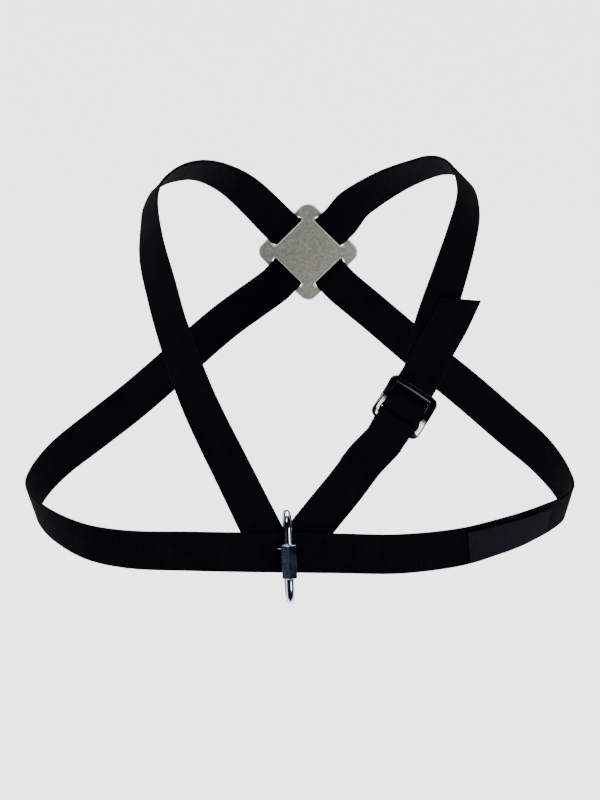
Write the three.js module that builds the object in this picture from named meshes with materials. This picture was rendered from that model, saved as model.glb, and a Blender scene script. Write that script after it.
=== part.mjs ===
// Climbing chest harness: one long strap of flat webbing in a figure of eight, threaded through a
// slotted metal plate between the shoulder blades, closed in front by a quick link and adjusted by
// a three-bar buckle on the wearer's left chest.
//
// Millimetres. +X is to the right as seen from in front, -Y is the wearer's front, +Z is up.
// The origin lies midway between the two places where the straps rest on the shoulders.
import * as THREE from "three";

// Webbing
const WEBBING_WIDTH = 25;
const WEBBING_THICKNESS = 2;
const SELVEDGE_ROUNDING = 0.6;

// Clearance between neighbouring pieces
const GAP = 0.3;

// The worn form: the torso space that the straps run round
const CHEST_HALF_WIDTH = 165;
const CHEST_DEPTH = 220;
const BACK_REACH = 65;
const FRONT_DROP = 218;

// Back plate
const PLATE_THICKNESS = 2;
const PLATE_LAND = 5.7;
const SLOT_PLAY = 1.6;
const SLOT_END_PLAY = 0.5;
const PLATE_RIM = 3.5;
const PLATE_CORNER_RADIUS = 7;
const PLATE_EDGE_BREAK = 0.5;
const PLATE_TILT = 6;
const PLATE_DROP_SHARE = 0.288;

// Three-bar buckle
const BUCKLE_RAIL_WIDTH = 4.2;
const BUCKLE_RAIL_PLAY = 0.5;
const BUCKLE_END_BAR = 5.2;
const BUCKLE_CENTRE_BAR = 6.3;
const BUCKLE_UPPER_WINDOW = 7.25;
const BUCKLE_LOWER_WINDOW = 4.95;
const BUCKLE_APPROACH = 9;
const BUCKLE_THICKNESS = 3;
const BUCKLE_CORNER_RADIUS = 4.5;
const BUCKLE_WINDOW_RADIUS = 1.4;
const BUCKLE_EDGE_ROUNDING = 1.3;
const BUCKLE_SEAT = { side: 0.414, front: 0.886, drop: 0.606 };
const BUCKLE_TURN = 17;
const BUCKLE_TILT = 5;
const BUCKLE_LEAN = 34;
const TURNBACK_SHARE = 0.45;

// Quick link and its threaded sleeve nut
const LINK_LENGTH = 58;
const LINK_ROD = 5;
const LINK_GAP = 6;
const LINK_YAW = 8;
const LINK_LEAN = -2.1;
const LINK_DROP = 2.4;
const NUT_LENGTH = 21.5;
const NUT_ACROSS_FLATS = 9;
const NUT_CHAMFER = 0.7;
const NUT_SEAT = 2;
const NUT_BASE_HEIGHT = 6.9;

// Label on the chest band
const LABEL_START = 109;
const LABEL_LENGTH = 60;
const LABEL_HEIGHT = 19.5;
const LABEL_THICKNESS = 0.8;
const LABEL_OFF_CENTRE = 0.8;

// Fineness of the solids
const RUN_STRIDE = 7;
const BEND_STEP = 30;
const ROD_SIDES = 12;

// Routes of the webbing. Places are shares of the worn form: side of CHEST_HALF_WIDTH, front of
// CHEST_DEPTH counted from the back plate, drop of FRONT_DROP counted from the shoulders. The outer
// face looks toward turn (0 the front, 90 the right as seen from in front) and up by tilt, degrees.
const LEFT_SIDE = [
  { side: -0.37, front: 0.995, drop: 1.0, turn: -4, tilt: -2 },
  { side: -0.594, front: 0.982, drop: 1.0, turn: -9, tilt: -8 },
  { side: -0.745, front: 0.952, drop: 0.989, turn: -27, tilt: -14 },
  { side: -0.867, front: 0.891, drop: 0.966, turn: -46, tilt: -19 },
  { side: -0.952, front: 0.818, drop: 0.94, turn: -64, tilt: -20 },
  { side: -1.0, front: 0.727, drop: 0.912, turn: -88, tilt: -16 },
  { side: -0.985, front: 0.645, drop: 0.877, turn: -109, tilt: -11 },
  { side: -0.921, front: 0.552, drop: 0.827, turn: -126, tilt: -11 },
  { side: -0.799, front: 0.434, drop: 0.764, turn: -134, tilt: -17 },
  { side: -0.661, front: 0.295, drop: 0.694, turn: -139, tilt: -21 },
  { side: -0.495, front: 0.149, drop: 0.596, turn: -151, tilt: -16 },
  { side: -0.332, front: 0.069, drop: 0.495, turn: -159, tilt: -8 },
];
const RIGHT_SIDE = [
  { side: 0.404, front: 0.989, drop: 1.002, turn: 9, tilt: -2 },
  { side: 0.623, front: 0.957, drop: 0.988, turn: 20, tilt: -9 },
  { side: 0.759, front: 0.911, drop: 0.969, turn: 31, tilt: -14 },
  { side: 0.852, front: 0.864, drop: 0.955, turn: 42, tilt: -17 },
  { side: 0.931, front: 0.811, drop: 0.94, turn: 52, tilt: -21 },
  { side: 0.982, front: 0.765, drop: 0.93, turn: 65, tilt: -22 },
  { side: 1.03, front: 0.691, drop: 0.909, turn: 88, tilt: -15 },
  { side: 1.008, front: 0.61, drop: 0.87, turn: 111, tilt: -7 },
  { side: 0.927, front: 0.507, drop: 0.81, turn: 131, tilt: -9 },
  { side: 0.802, front: 0.402, drop: 0.746, turn: 139, tilt: -16 },
  { side: 0.649, front: 0.275, drop: 0.668, turn: 143, tilt: -18 },
  { side: 0.475, front: 0.163, drop: 0.58, turn: 150, tilt: -14 },
  { side: 0.272, front: 0.065, drop: 0.467, turn: 158, tilt: -8 },
];
const RIGHT_SHOULDER = [
  { side: 0.176, front: 0.035, drop: 0.145, turn: 176, tilt: 27 },
  { side: 0.233, front: 0.067, drop: 0.109, turn: 170, tilt: 39 },
  { side: 0.352, front: 0.152, drop: 0.048, turn: 164, tilt: 53 },
  { side: 0.471, front: 0.254, drop: 0.003, turn: 156, tilt: 61 },
  { side: 0.532, front: 0.314, drop: -0.011, turn: 131, tilt: 59 },
  { side: 0.585, front: 0.383, drop: -0.006, turn: 106, tilt: 49 },
  { side: 0.625, front: 0.465, drop: 0.017, turn: 86, tilt: 39 },
  { side: 0.643, front: 0.569, drop: 0.075, turn: 67, tilt: 25 },
  { side: 0.621, front: 0.649, drop: 0.149, turn: 52, tilt: 20 },
  { side: 0.572, front: 0.738, drop: 0.264, turn: 37, tilt: 17 },
  { side: 0.516, front: 0.806, drop: 0.389, turn: 28, tilt: 15 },
];
const LEFT_SHOULDER = [
  { side: -0.228, front: 0.036, drop: 0.115, turn: -176, tilt: 24 },
  { side: -0.285, front: 0.065, drop: 0.075, turn: -170, tilt: 40 },
  { side: -0.344, front: 0.109, drop: 0.044, turn: -160, tilt: 52 },
  { side: -0.398, front: 0.16, drop: 0.025, turn: -143, tilt: 57 },
  { side: -0.449, front: 0.222, drop: 0.018, turn: -124, tilt: 55 },
  { side: -0.499, front: 0.291, drop: 0.021, turn: -107, tilt: 52 },
  { side: -0.54, front: 0.363, drop: 0.037, turn: -93, tilt: 45 },
  { side: -0.57, front: 0.447, drop: 0.072, turn: -84, tilt: 31 },
  { side: -0.572, front: 0.523, drop: 0.116, turn: -74, tilt: 23 },
  { side: -0.55, front: 0.634, drop: 0.201, turn: -53, tilt: 20 },
  { side: -0.502, front: 0.725, drop: 0.304, turn: -42, tilt: 19 },
  { side: -0.453, front: 0.797, drop: 0.407, turn: -37, tilt: 14 },
  { side: -0.349, front: 0.888, drop: 0.59, turn: -25, tilt: 9 },
  { side: -0.199, front: 0.953, drop: 0.805, turn: -12, tilt: 5 },
];
const FREE_TAIL = [
  { side: 0.529, front: 0.825, drop: 0.445, turn: 24, tilt: 12 },
  { side: 0.582, front: 0.791, drop: 0.376, turn: 28, tilt: 14 },
  { side: 0.62, front: 0.759, drop: 0.319, turn: 31, tilt: 16 },
];
const LOWER_RUN = [
  { side: 0.273, front: 0.941, drop: 0.748, turn: 14, tilt: 6 },
  { side: 0.203, front: 0.964, drop: 0.816, turn: 9, tilt: 5 },
];

// How each sewn lower end runs behind the chest band: place across and above the band's centre as
// shares of the webbing's width, and the layer that it fills behind the band.
const FIXED_END = [
  { across: -0.93, above: 1.02, layer: 1, turn: -4, tilt: 2 },
  { across: -0.7, above: 0.56, layer: 1, turn: 0, tilt: 0 },
  { across: -0.23, above: -0.38, layer: 1, turn: 0, tilt: 0 },
];
const BUCKLE_END = [
  { across: 0.86, above: 1.02, layer: 2, turn: 4, tilt: 2 },
  { across: 0.5, above: 0.56, layer: 2, turn: 0, tilt: 0 },
  { across: -0.24, above: -0.38, layer: 2, turn: 0, tilt: 0 },
];
const SEWN_REACH = 1.2;
const FIXED_END_CUT = -27;
const BUCKLE_END_CUT = 38;
const TAIL_CUT = -27;

// Worked-out sizes
const LAYER = WEBBING_THICKNESS + GAP;
const PLATE_HALF_LAND = WEBBING_WIDTH / 2 + PLATE_LAND;
const SLOT_WIDTH = WEBBING_THICKNESS + SLOT_PLAY;
const SLOT_LENGTH = WEBBING_WIDTH + 2 * SLOT_END_PLAY;
const PLATE_HALF_SIDE = PLATE_HALF_LAND + SLOT_WIDTH + PLATE_RIM;
const BUCKLE_WINDOWS = BUCKLE_UPPER_WINDOW + BUCKLE_LOWER_WINDOW;
const BUCKLE_HALF_LENGTH = (BUCKLE_WINDOWS + BUCKLE_CENTRE_BAR) / 2 + BUCKLE_END_BAR;
const CENTRE_BAR_UPPER_EDGE = BUCKLE_END_BAR + BUCKLE_UPPER_WINDOW - BUCKLE_HALF_LENGTH;
const CENTRE_BAR_LOWER_EDGE = CENTRE_BAR_UPPER_EDGE + BUCKLE_CENTRE_BAR;
const BUCKLE_WINDOW_SPAN = WEBBING_WIDTH + 2 * BUCKLE_RAIL_PLAY;
const BUCKLE_SPAN = BUCKLE_WINDOW_SPAN + 2 * BUCKLE_RAIL_WIDTH;
const NUT_CORNER = NUT_ACROSS_FLATS / Math.sqrt(3);
const NUT_BORE_RADIUS = LINK_ROD / 2 + GAP;
const BAND_STACK = 3 * WEBBING_THICKNESS + 2 * GAP;
const LINK_REACH = NUT_CORNER + GAP + BAND_STACK + GAP + LINK_ROD / 2;
const LINK_SPAN = LINK_REACH / Math.cos(THREE.MathUtils.degToRad(LINK_YAW));
const LINK_STRAIGHT = LINK_LENGTH / 2 - LINK_ROD / 2 - LINK_SPAN / 2;
const FRONT_CENTRE = new THREE.Vector3(0, BACK_REACH - CHEST_DEPTH, -FRONT_DROP);
const PLATE_CENTRE = new THREE.Vector3(0, BACK_REACH, -PLATE_DROP_SHARE * FRONT_DROP);

// Finishes
const FINISHES = {
  webbing: { color: 0x0b0c12, roughness: 0.85, metalness: 0 },
  plate: { color: 0x8b887e, roughness: 0.55, metalness: 0.9 },
  steel: { color: 0xb8bcc4, roughness: 0.2, metalness: 1 },
  blackMetal: { color: 0x0c0c10, roughness: 0.25, metalness: 0.5 },
  patch: { color: 0x232127, roughness: 0.7, metalness: 0 },
};

function radians(degrees) {
  return THREE.MathUtils.degToRad(degrees);
}

function piece(name, geometry, finish) {
  const mesh = new THREE.Mesh(geometry, new THREE.MeshStandardMaterial(FINISHES[finish]));
  mesh.name = name;
  return mesh;
}

// The direction that a face looks in, from its turn and tilt.
function facing(turn, tilt) {
  const level = Math.cos(radians(tilt));
  return new THREE.Vector3(
    Math.sin(radians(turn)) * level,
    -Math.cos(radians(turn)) * level,
    Math.sin(radians(tilt)),
  );
}

// The place on the worn form that a row's shares stand for.
function wornPlace(row) {
  return new THREE.Vector3(
    row.side * CHEST_HALF_WIDTH,
    BACK_REACH - row.front * CHEST_DEPTH,
    -row.drop * FRONT_DROP,
  );
}

// Knots of a free run: the webbing's centre and the direction of its face. A run that shows its
// other face has the direction reversed.
function wornKnots(rows, reversed = false) {
  return rows.map((row) => {
    const face = facing(row.turn, row.tilt);
    return { place: wornPlace(row), face: reversed ? face.negate() : face };
  });
}

// Knots of a sewn end, laid in its layer behind the chest band.
function sewnKnots(rows) {
  return rows.map((row) => {
    const offset = new THREE.Vector3(
      row.across * WEBBING_WIDTH,
      row.layer * LAYER,
      row.above * WEBBING_WIDTH,
    );
    return { place: offset.add(FRONT_CENTRE), face: facing(row.turn, row.tilt) };
  });
}

// A passage through hardware, drawn in the plane of the hardware's length and depth. Its corners
// (run, lift) are rounded by arcs of their bend radius, and come back as knots in space.
function passageKnots(corners, seat) {
  const flat = [];
  const addPoint = (run, lift, heading) => {
    const last = flat[flat.length - 1];
    if (!last || Math.hypot(run - last.run, lift - last.lift) > 0.01) {
      flat.push({ run, lift, heading });
    }
  };
  const heading = (a, b) => Math.atan2(b.lift - a.lift, b.run - a.run);
  addPoint(corners[0].run, corners[0].lift, heading(corners[0], corners[1]));
  for (let index = 1; index < corners.length - 1; index += 1) {
    const corner = corners[index];
    const into = heading(corners[index - 1], corner);
    const leave = heading(corner, corners[index + 1]);
    const swing = Math.atan2(Math.sin(leave - into), Math.cos(leave - into));
    const trim = corner.bend * Math.tan(Math.abs(swing) / 2);
    const startRun = corner.run - trim * Math.cos(into);
    const startLift = corner.lift - trim * Math.sin(into);
    const toCentre = into + Math.sign(swing) * Math.PI / 2;
    const centreRun = startRun + corner.bend * Math.cos(toCentre);
    const centreLift = startLift + corner.bend * Math.sin(toCentre);
    const steps = Math.max(1, Math.ceil(Math.abs(swing) / radians(BEND_STEP)));
    for (let step = 0; step <= steps; step += 1) {
      const now = into + swing * step / steps;
      const spoke = now - Math.sign(swing) * Math.PI / 2;
      addPoint(
        centreRun + corner.bend * Math.cos(spoke),
        centreLift + corner.bend * Math.sin(spoke),
        now,
      );
    }
  }
  const end = corners[corners.length - 1];
  addPoint(end.run, end.lift, heading(corners[corners.length - 2], end));
  return flat.map(({ run, lift, heading: now }) => ({
    place: seat.centre.clone().addScaledVector(seat.along, run).addScaledVector(seat.out, lift),
    face: seat.along.clone().multiplyScalar(-Math.sin(now)).addScaledVector(seat.out, Math.cos(now)),
  }));
}

// Stations along a smooth curve through the knots: place, heading and face, a stride apart.
function smoothStations(knots) {
  const places = new THREE.CatmullRomCurve3(knots.map((knot) => knot.place), false, "centripetal");
  const faces = new THREE.CatmullRomCurve3(knots.map((knot) => knot.face), false, "catmullrom", 0.5);
  const last = knots.length - 1;
  const shares = [];
  for (let knot = 0; knot < last; knot += 1) {
    const span = knots[knot].place.distanceTo(knots[knot + 1].place);
    const steps = Math.max(1, Math.ceil(span / RUN_STRIDE));
    for (let step = 0; step < steps; step += 1) {
      shares.push((knot + step / steps) / last);
    }
  }
  shares.push(1);
  return shares.map((share) => {
    const heading = places.getTangent(share);
    const face = faces.getPoint(share);
    face.addScaledVector(heading, -face.dot(heading)).normalize();
    return { place: places.getPoint(share), heading, face };
  });
}

// A closed solid swept through sections that have the same number of points, with flat ends.
function sweptSolid(sections) {
  const count = sections[0].length;
  const positions = [];
  const triangles = [];
  for (const section of sections) {
    for (const point of section) {
      positions.push(point.x, point.y, point.z);
    }
  }
  for (let ring = 0; ring < sections.length - 1; ring += 1) {
    for (let side = 0; side < count; side += 1) {
      const a = ring * count + side;
      const b = ring * count + (side + 1) % count;
      triangles.push(a, b, a + count, b, b + count, a + count);
    }
  }
  const end = (sections.length - 1) * count;
  for (let side = 1; side < count - 1; side += 1) {
    triangles.push(0, side + 1, side, end, end + side, end + side + 1);
  }
  const geometry = new THREE.BufferGeometry();
  geometry.setAttribute("position", new THREE.Float32BufferAttribute(positions, 3));
  geometry.setIndex(triangles);
  if (signedVolume(geometry) < 0) {
    for (let first = 0; first < triangles.length; first += 3) {
      [triangles[first + 1], triangles[first + 2]] = [triangles[first + 2], triangles[first + 1]];
    }
    geometry.setIndex(triangles);
  }
  geometry.computeVertexNormals();
  return geometry;
}

function signedVolume(geometry) {
  const points = geometry.getAttribute("position");
  const index = geometry.getIndex();
  const [a, b, c] = [new THREE.Vector3(), new THREE.Vector3(), new THREE.Vector3()];
  let volume = 0;
  for (let first = 0; first < index.count; first += 3) {
    a.fromBufferAttribute(points, index.getX(first));
    b.fromBufferAttribute(points, index.getX(first + 1));
    c.fromBufferAttribute(points, index.getX(first + 2));
    volume += a.dot(b.clone().cross(c)) / 6;
  }
  return volume;
}

// A flat tape along its stations. Each end can be cut at an angle to the square, and the sections
// near it lean over by degrees so that none cross.
function tape(stations, { width, thickness, rounding, lift = 0, shift = 0, startCut = 0, endCut = 0 }) {
  const outline = [
    { across: -width / 2, up: 0 },
    { across: -width / 2 + rounding, up: -thickness / 2 },
    { across: width / 2 - rounding, up: -thickness / 2 },
    { across: width / 2, up: 0 },
    { across: width / 2 - rounding, up: thickness / 2 },
    { across: -width / 2 + rounding, up: thickness / 2 },
  ];
  const lengths = [0];
  for (let index = 1; index < stations.length; index += 1) {
    lengths.push(lengths[index - 1] + stations[index].place.distanceTo(stations[index - 1].place));
  }
  const total = lengths[lengths.length - 1];
  const reach = 1.5 * width;
  const sections = stations.map((station, index) => {
    const sideways = station.heading.clone().cross(station.face).normalize();
    const nearStart = Math.max(0, 1 - lengths[index] / reach);
    const nearEnd = Math.max(0, 1 - (total - lengths[index]) / reach);
    const lean = Math.tan(radians(startCut)) * nearStart + Math.tan(radians(endCut)) * nearEnd;
    return outline.map(({ across, up }) => station.place.clone()
      .addScaledVector(sideways, across + shift)
      .addScaledVector(station.face, up + lift)
      .addScaledVector(station.heading, across * lean));
  });
  return sweptSolid(sections);
}

const WEBBING = { width: WEBBING_WIDTH, thickness: WEBBING_THICKNESS, rounding: SELVEDGE_ROUNDING };

// Slope of the straight stretch that passes between two round edges on opposite sides of it.
function crossingSlope(run, rise, radius) {
  return Math.atan2(rise, run) + Math.asin(2 * radius / Math.hypot(run, rise));
}

// Plate
// Each strap lies on the plate's inner side over the rim, dives through a slot, crosses behind the
// square land and comes back through the opposite slot. The second strap crosses over the first.
const plateOut = new THREE.Vector3(0, Math.cos(radians(PLATE_TILT)), Math.sin(radians(PLATE_TILT)));
const plateUp = new THREE.Vector3(0, -Math.sin(radians(PLATE_TILT)), Math.cos(radians(PLATE_TILT)));

function plateSeat(handed) {
  const along = new THREE.Vector3(handed, 0, 0).add(plateUp).normalize();
  return { centre: PLATE_CENTRE, along, out: plateOut };
}

function plateKnots(handed, layer) {
  const level = PLATE_THICKNESS / 2 + GAP + WEBBING_THICKNESS / 2;
  const fold = GAP + WEBBING_THICKNESS / 2;
  const slope = crossingSlope(SLOT_WIDTH, PLATE_THICKNESS, fold);
  const slotMiddle = PLATE_HALF_LAND + SLOT_WIDTH / 2;
  const inner = slotMiddle - level / Math.tan(slope);
  const outer = slotMiddle + level / Math.tan(slope);
  const crossing = WEBBING_WIDTH / 2 + 1.1;
  const beyond = PLATE_HALF_SIDE + 1;
  const high = level + (layer - 1) * LAYER;
  const over = layer === 1 ? [] : [
    { run: -crossing, lift: high, bend: 2 * fold },
    { run: crossing, lift: high, bend: 2 * fold },
  ];
  return passageKnots([
    { run: -beyond - 4, lift: -level - 1 },
    { run: -beyond, lift: -level, bend: fold },
    { run: -outer, lift: -level, bend: fold },
    { run: -inner, lift: level, bend: fold },
    ...over,
    { run: inner, lift: level, bend: fold },
    { run: outer, lift: -level, bend: fold },
    { run: beyond, lift: -level, bend: fold },
    { run: beyond + 4, lift: -level - 0.2 },
  ], plateSeat(handed));
}

function roundedSlot(centreX, centreY, lengthX, lengthY) {
  const radius = Math.min(lengthX, lengthY) / 2 - 0.01;
  const slot = new THREE.Path();
  const right = centreX + lengthX / 2;
  const top = centreY + lengthY / 2;
  const left = centreX - lengthX / 2;
  const bottom = centreY - lengthY / 2;
  return roundedOutline(slot, left, bottom, right, top, Math.min(radius, 1.4));
}

function roundedOutline(path, left, bottom, right, top, radius) {
  path.moveTo(left + radius, bottom);
  path.lineTo(right - radius, bottom);
  path.absarc(right - radius, bottom + radius, radius, -Math.PI / 2, 0);
  path.lineTo(right, top - radius);
  path.absarc(right - radius, top - radius, radius, 0, Math.PI / 2);
  path.lineTo(left + radius, top);
  path.absarc(left + radius, top - radius, radius, Math.PI / 2, Math.PI);
  path.lineTo(left, bottom + radius);
  path.absarc(left + radius, bottom + radius, radius, Math.PI, 3 * Math.PI / 2);
  return path;
}

// An outline given a thickness about its middle plane, with its edges rounded or broken.
function edgedSlab(shape, thickness, edge, edgeSteps, curveSteps) {
  const geometry = new THREE.ExtrudeGeometry(shape, {
    depth: thickness - 2 * edge,
    bevelEnabled: true,
    bevelThickness: edge,
    bevelSize: edge,
    bevelOffset: -edge,
    bevelSegments: edgeSteps,
    curveSegments: curveSteps,
  });
  geometry.translate(0, 0, edge - thickness / 2);
  return geometry;
}

function backPlate() {
  const half = PLATE_HALF_SIDE;
  const shape = roundedOutline(new THREE.Shape(), -half, -half, half, half, PLATE_CORNER_RADIUS);
  const middle = PLATE_HALF_LAND + SLOT_WIDTH / 2;
  for (const side of [-1, 1]) {
    shape.holes.push(roundedSlot(side * middle, 0, SLOT_WIDTH, SLOT_LENGTH));
    shape.holes.push(roundedSlot(0, side * middle, SLOT_LENGTH, SLOT_WIDTH));
  }
  const plate = piece("back_plate", edgedSlab(shape, PLATE_THICKNESS, PLATE_EDGE_BREAK, 1, 5), "plate");
  const right = plateSeat(1).along;
  const left = plateSeat(-1).along;
  const basis = new THREE.Matrix4().makeBasis(right, left, plateOut.clone().negate());
  plate.quaternion.setFromRotationMatrix(basis);
  plate.position.copy(PLATE_CENTRE);
  return plate;
}

// Buckle
// Its length runs up the strap. The shoulder strap goes in under the top bar, round the centre bar
// and out under the top bar again as the free tail.
const buckleCentre = wornPlace(BUCKLE_SEAT);
const buckleOut = facing(BUCKLE_TURN, BUCKLE_TILT);
const buckleLevel = new THREE.Vector3(0, 0, 1).cross(buckleOut).normalize();
const buckleUpright = buckleOut.clone().cross(buckleLevel).normalize();
const buckleUp = buckleUpright.clone().multiplyScalar(Math.cos(radians(BUCKLE_LEAN)))
  .addScaledVector(buckleLevel, Math.sin(radians(BUCKLE_LEAN)));
const buckleSeat = {
  centre: buckleCentre,
  along: buckleUp.clone().negate(),
  out: buckleOut,
};
const barWrap = BUCKLE_THICKNESS / 2 + GAP + WEBBING_THICKNESS / 2;

function adjustingKnots() {
  const barRadius = BUCKLE_THICKNESS / 2;
  const edgeGap = BUCKLE_UPPER_WINDOW + 2 * barRadius;
  const slope = Math.asin(2 * barWrap / edgeGap);
  const middle = CENTRE_BAR_UPPER_EDGE - BUCKLE_UPPER_WINDOW / 2;
  const half = barWrap / Math.tan(slope);
  const turn = CENTRE_BAR_LOWER_EDGE - barRadius + barWrap;
  return passageKnots([
    { run: -BUCKLE_HALF_LENGTH - BUCKLE_APPROACH, lift: -barWrap - LAYER - 0.6 },
    { run: -BUCKLE_HALF_LENGTH - 1, lift: -barWrap - LAYER, bend: 6 },
    { run: middle - 2, lift: -barWrap - LAYER, bend: 3 },
    { run: CENTRE_BAR_UPPER_EDGE + barRadius - 1, lift: -barWrap, bend: 3 },
    { run: turn, lift: -barWrap, bend: barWrap },
    { run: turn, lift: barWrap, bend: barWrap },
    { run: middle + half, lift: barWrap, bend: barWrap },
    { run: middle - half, lift: -barWrap, bend: barWrap },
    { run: -BUCKLE_HALF_LENGTH - 4, lift: -barWrap },
  ], buckleSeat);
}

function foldKnots() {
  const turn = BUCKLE_HALF_LENGTH - BUCKLE_END_BAR + BUCKLE_THICKNESS / 2 - barWrap;
  const joined = 0.6 * BUCKLE_APPROACH;
  const closed = LAYER / 2;
  return passageKnots([
    { run: BUCKLE_HALF_LENGTH + BUCKLE_APPROACH, lift: -closed },
    { run: BUCKLE_HALF_LENGTH + joined, lift: -closed, bend: 5 },
    { run: BUCKLE_HALF_LENGTH - 0.5, lift: -barWrap, bend: 4 },
    { run: turn, lift: -barWrap, bend: barWrap },
    { run: turn, lift: barWrap, bend: barWrap },
    { run: BUCKLE_HALF_LENGTH - 0.5, lift: barWrap, bend: 4 },
    { run: BUCKLE_HALF_LENGTH + joined, lift: closed, bend: 5 },
    { run: BUCKLE_HALF_LENGTH + BUCKLE_APPROACH, lift: closed },
  ], buckleSeat);
}

// The short leg that is folded back and sewn to the inner side of the run below the buckle.
function turnbackKnots() {
  const [upper, lower] = wornKnots(LOWER_RUN);
  const end = {
    place: upper.place.clone().lerp(lower.place, TURNBACK_SHARE),
    face: upper.face.clone().lerp(lower.face, TURNBACK_SHARE).normalize(),
  };
  return [end, upper].map(({ place, face }) => ({
    place: place.clone().addScaledVector(face, -LAYER),
    face: face.clone().negate(),
  }));
}

function buckleFrame() {
  const span = BUCKLE_SPAN / 2;
  const length = BUCKLE_HALF_LENGTH;
  const shape = roundedOutline(new THREE.Shape(), -span, -length, span, length, BUCKLE_CORNER_RADIUS);
  const window = BUCKLE_WINDOW_SPAN / 2;
  const far = length - BUCKLE_END_BAR;
  for (const [low, high] of [[-CENTRE_BAR_UPPER_EDGE, far], [-far, -CENTRE_BAR_LOWER_EDGE]]) {
    shape.holes.push(roundedOutline(new THREE.Path(), -window, low, window, high, BUCKLE_WINDOW_RADIUS));
  }
  const geometry = edgedSlab(shape, BUCKLE_THICKNESS, BUCKLE_EDGE_ROUNDING, 3, 4);
  const buckle = piece("buckle", geometry, "blackMetal");
  const across = buckleUp.clone().cross(buckleOut);
  buckle.quaternion.setFromRotationMatrix(new THREE.Matrix4().makeBasis(across, buckleUp, buckleOut));
  buckle.position.copy(buckleCentre);
  return buckle;
}

// Straps
// The chest band is flat and level where the lower ends are sewn behind it.
function bandKnots(side) {
  return [GAP / 2, SEWN_REACH * WEBBING_WIDTH].map((reach) => ({
    place: FRONT_CENTRE.clone().setX(side * reach),
    face: facing(0, 0),
  }));
}

// From the front centre round the wearer's right side, through the plate, over the left shoulder
// and through the buckle to the free tail.
function adjustingStations() {
  return smoothStations([
    ...bandKnots(-1),
    ...wornKnots(LEFT_SIDE),
    ...plateKnots(1, 1),
    ...wornKnots(RIGHT_SHOULDER),
    ...adjustingKnots(),
    ...wornKnots(FREE_TAIL, true),
  ]);
}

// From the front centre round the wearer's left side, through the plate, over the right shoulder
// and down to its sewn end behind the chest band.
function fixedStations() {
  return smoothStations([
    ...bandKnots(1),
    ...wornKnots(RIGHT_SIDE),
    ...plateKnots(-1, 2),
    ...wornKnots(LEFT_SHOULDER),
    ...sewnKnots(FIXED_END),
  ]);
}

function buckleStrapStations() {
  return smoothStations([
    ...turnbackKnots(),
    ...foldKnots(),
    ...wornKnots(LOWER_RUN),
    ...sewnKnots(BUCKLE_END),
  ]);
}

// The stretch of a run between two lengths along it, with its ends placed exactly.
function stretch(stations, from, to) {
  const picked = [];
  let length = 0;
  for (let index = 1; index < stations.length; index += 1) {
    const before = stations[index - 1];
    const after = stations[index];
    const span = after.place.distanceTo(before.place);
    for (const mark of [from, to]) {
      if (mark >= length && mark < length + span) {
        const share = (mark - length) / span;
        picked.push({
          place: before.place.clone().lerp(after.place, share),
          heading: before.heading.clone().lerp(after.heading, share).normalize(),
          face: before.face.clone().lerp(after.face, share).normalize(),
        });
      }
    }
    length += span;
    if (length > from && length < to) {
      picked.push(after);
    }
  }
  return picked;
}

// Quick link
// A closed ring of round rod with a gap in its front bar, which the sleeve nut covers. Its front
// bar is the local Z axis, and the ring reaches back along local +Y.
function linkBody() {
  const gapBottom = -LINK_STRAIGHT + NUT_BASE_HEIGHT + NUT_SEAT;
  const gapTop = gapBottom + LINK_GAP;
  const centreline = [{ y: 0, z: gapTop, heading: 0 }];
  const bends = 10;
  for (const [height, start] of [[LINK_STRAIGHT, 0], [-LINK_STRAIGHT, Math.PI]]) {
    for (let step = 0; step <= bends; step += 1) {
      const angle = start + Math.PI * step / bends;
      centreline.push({
        y: LINK_SPAN / 2 * (1 - Math.cos(angle)),
        z: height + LINK_SPAN / 2 * Math.sin(angle),
        heading: angle,
      });
    }
  }
  centreline.push({ y: 0, z: gapBottom, heading: 2 * Math.PI });
  const sections = centreline.map(({ y, z, heading }) => {
    const outward = new THREE.Vector3(0, -Math.cos(heading), Math.sin(heading));
    return Array.from({ length: ROD_SIDES }, (_, side) => {
      const angle = 2 * Math.PI * (side + 0.5) / ROD_SIDES;
      return new THREE.Vector3(LINK_ROD / 2 * Math.cos(angle), y, z)
        .addScaledVector(outward, LINK_ROD / 2 * Math.sin(angle));
    });
  });
  return piece("quick_link", sweptSolid(sections), "steel");
}

function linkNut() {
  const shape = new THREE.Shape();
  for (let corner = 0; corner < 6; corner += 1) {
    const angle = -Math.PI / 2 + corner * Math.PI / 3;
    const [x, y] = [NUT_CORNER * Math.cos(angle), NUT_CORNER * Math.sin(angle)];
    if (corner === 0) {
      shape.moveTo(x, y);
    } else {
      shape.lineTo(x, y);
    }
  }
  shape.closePath();
  shape.holes.push(new THREE.Path().absarc(0, 0, NUT_BORE_RADIUS, 0, 2 * Math.PI));
  const nut = piece("link_nut", edgedSlab(shape, NUT_LENGTH, NUT_CHAMFER, 1, 8), "steel");
  nut.position.z = -LINK_STRAIGHT + NUT_BASE_HEIGHT + NUT_LENGTH / 2;
  nut.rotation.z = -radians(LINK_YAW);
  return nut;
}

function quickLink() {
  const link = new THREE.Group();
  link.add(linkBody(), linkNut());
  link.position.copy(FRONT_CENTRE);
  link.position.y -= WEBBING_THICKNESS / 2 + GAP + NUT_CORNER;
  link.position.z -= LINK_DROP;
  link.rotation.set(0, radians(LINK_LEAN), radians(LINK_YAW));
  return link;
}

const fixedRun = fixedStations();
const labelRun = stretch(fixedRun, LABEL_START, LABEL_START + LABEL_LENGTH);

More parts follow.
